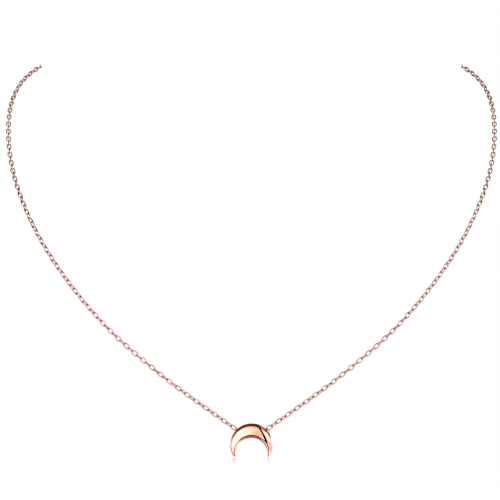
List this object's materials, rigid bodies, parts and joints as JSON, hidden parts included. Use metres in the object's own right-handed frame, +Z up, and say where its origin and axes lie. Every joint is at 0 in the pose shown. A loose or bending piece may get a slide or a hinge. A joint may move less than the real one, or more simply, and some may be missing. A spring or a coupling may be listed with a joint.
{
  "type": "pendant necklace",
  "caption": "Fine cable chain necklace worn as a loop, with a puffed crescent pendant, spring-lever lobster clasp and hanging extender chain",
  "frame": {"origin": "centre of the neck opening, level with the clasp at the nape", "axes": "+Z up along the neck, -Y towards the front where the crescent hangs, +X towards the wearer's left, which is the right-hand side seen from the front"},
  "size_m": [0.1318, 0.0975, 0.1151],
  "materials": {
    "crescent_gold": "high polish rose gold plate",
    "chain_gold": "bright rose gold plate",
    "ring_gold": "bright rose gold plate",
    "clasp_gold": "tumbled rose gold plate",
    "drop_gold": "high polish rose gold plate",
    "spring_steel": "drawn spring wire"
  },
  "bodies": {
    "root": {"left_lead_links": "chain_gold", "right_lead_links": "chain_gold"},
    "pendant": {"crescent": "crescent_gold", "left_eyelet": "ring_gold", "right_eyelet": "ring_gold", "left_jump_ring": "ring_gold", "right_jump_ring": "ring_gold"},
    "right_side_1": {"right_chain_1": "chain_gold"},
    "right_side_2": {"right_chain_2": "chain_gold", "right_chain_3": "chain_gold"},
    "right_side_3": {"right_chain_4": "chain_gold", "right_chain_5": "chain_gold", "right_chain_6": "chain_gold"},
    "right_side_4": {"right_chain_7": "chain_gold", "right_chain_8": "chain_gold"},
    "right_side_5": {"right_chain_9": "chain_gold"},
    "left_side_1": {"left_chain_1": "chain_gold"},
    "left_side_2": {"left_chain_2": "chain_gold", "left_chain_3": "chain_gold"},
    "left_side_3": {"left_chain_4": "chain_gold", "left_chain_5": "chain_gold", "left_chain_6": "chain_gold"},
    "left_side_4": {"left_chain_7": "chain_gold", "left_chain_8": "chain_gold"},
    "left_side_5": {"left_chain_9": "chain_gold"},
    "clasp": {"clasp_ring": "ring_gold", "clasp_body": "clasp_gold", "clasp_rivet": "clasp_gold", "clasp_spring": "spring_steel"},
    "lever": {"clasp_lever": "clasp_gold"},
    "catch": {"catch_ring": "ring_gold"},
    "tail_1": {"extender_links_1": "chain_gold"},
    "tail_2": {"extender_links_2": "chain_gold"},
    "tail_3": {"extender_links_3": "chain_gold"},
    "drop": {"extender_drop": "drop_gold"}
  },
  "joints": [
    {"name": "loop_spread", "type": "hinge", "parent": "root", "child": "right_side_1", "pos_m": [0.0065, -0.04587, -0.1033], "axis": [0, 0, 1], "range_deg": [-20, 20]},
    {"name": "right_bend_1", "type": "hinge", "parent": "right_side_1", "child": "right_side_2", "pos_m": [0.02426, -0.04355, -0.09037], "axis": [0, 0, 1], "range_deg": [-10, 10]},
    {"name": "right_bend_2", "type": "hinge", "parent": "right_side_2", "child": "right_side_3", "pos_m": [0.05576, -0.02625, -0.05542], "axis": [0, 0, 1], "range_deg": [-10, 10]},
    {"name": "right_bend_3", "type": "hinge", "parent": "right_side_3", "child": "right_side_4", "pos_m": [0.05576, 0.02625, -0.00732], "axis": [0, 0, 1], "range_deg": [-10, 10]},
    {"name": "right_bend_4", "type": "hinge", "parent": "right_side_4", "child": "right_side_5", "pos_m": [0.02426, 0.04355, -0.00069], "axis": [0, 0, 1], "range_deg": [-10, 10]},
    {"name": "right_bend_5", "type": "hinge", "parent": "right_side_5", "child": "clasp", "pos_m": [0.0065, 0.04587, 0], "axis": [0, 0, 1], "range_deg": [-20, 20]},
    {"name": "left_bend_0", "type": "hinge", "parent": "root", "child": "left_side_1", "pos_m": [-0.0065, -0.04587, -0.1033], "axis": [0, 0, 1], "range_deg": [-20, 20]},
    {"name": "left_bend_1", "type": "hinge", "parent": "left_side_1", "child": "left_side_2", "pos_m": [-0.02426, -0.04355, -0.09037], "axis": [0, 0, 1], "range_deg": [-10, 10]},
    {"name": "left_bend_2", "type": "hinge", "parent": "left_side_2", "child": "left_side_3", "pos_m": [-0.05576, -0.02625, -0.05542], "axis": [0, 0, 1], "range_deg": [-10, 10]},
    {"name": "left_bend_3", "type": "hinge", "parent": "left_side_3", "child": "left_side_4", "pos_m": [-0.05576, 0.02625, -0.00732], "axis": [0, 0, 1], "range_deg": [-10, 10]},
    {"name": "left_bend_4", "type": "hinge", "parent": "left_side_4", "child": "left_side_5", "pos_m": [-0.02426, 0.04355, -0.00069], "axis": [0, 0, 1], "range_deg": [-10, 10]},
    {"name": "left_bend_5", "type": "hinge", "parent": "left_side_5", "child": "catch", "pos_m": [-0.0065, 0.04587, 0], "axis": [0, 0, 1], "range_deg": [-20, 20]},
    {"name": "pendant_swing", "type": "hinge", "parent": "root", "child": "pendant", "pos_m": [0, -0.04587, -0.10587], "axis": [1, 0, 0], "range_deg": [-25, 10]},
    {"name": "lever_open", "type": "hinge", "parent": "clasp", "child": "lever", "pos_m": [0.00056, 0.04587, 0.00162], "axis": [0, 1, 0], "range_deg": [0, 22], "stiffness_Nm_per_rad": 0.001, "springref_deg": -8.59},
    {"name": "tail_swing", "type": "hinge", "parent": "catch", "child": "tail_1", "pos_m": [-0.00488, 0.04728, -0.00096], "axis": [1, 0, 0], "range_deg": [-5, 40]},
    {"name": "tail_bend_1", "type": "hinge", "parent": "tail_1", "child": "tail_2", "pos_m": [-0.00488, 0.04728, -0.01506], "axis": [0, 1, 0], "range_deg": [-25, 25]},
    {"name": "tail_bend_2", "type": "hinge", "parent": "tail_2", "child": "tail_3", "pos_m": [-0.00488, 0.04728, -0.02916], "axis": [1, 0, 0], "range_deg": [-25, 25]},
    {"name": "drop_swing", "type": "hinge", "parent": "tail_3", "child": "drop", "pos_m": [-0.00488, 0.04728, -0.04326], "axis": [0, 1, 0], "range_deg": [-25, 25]}
  ],
  "couplings": [
    {"joint": "right_bend_1", "follows": "loop_spread", "ratio": -0.5},
    {"joint": "right_bend_2", "follows": "loop_spread", "ratio": -0.5},
    {"joint": "right_bend_3", "follows": "loop_spread", "ratio": -0.5},
    {"joint": "right_bend_4", "follows": "loop_spread", "ratio": -0.5},
    {"joint": "right_bend_5", "follows": "loop_spread", "ratio": 1},
    {"joint": "left_bend_0", "follows": "loop_spread", "ratio": -1},
    {"joint": "left_bend_1", "follows": "loop_spread", "ratio": 0.5},
    {"joint": "left_bend_2", "follows": "loop_spread", "ratio": 0.5},
    {"joint": "left_bend_3", "follows": "loop_spread", "ratio": 0.5},
    {"joint": "left_bend_4", "follows": "loop_spread", "ratio": 0.5},
    {"joint": "left_bend_5", "follows": "loop_spread", "ratio": -1}
  ]
}
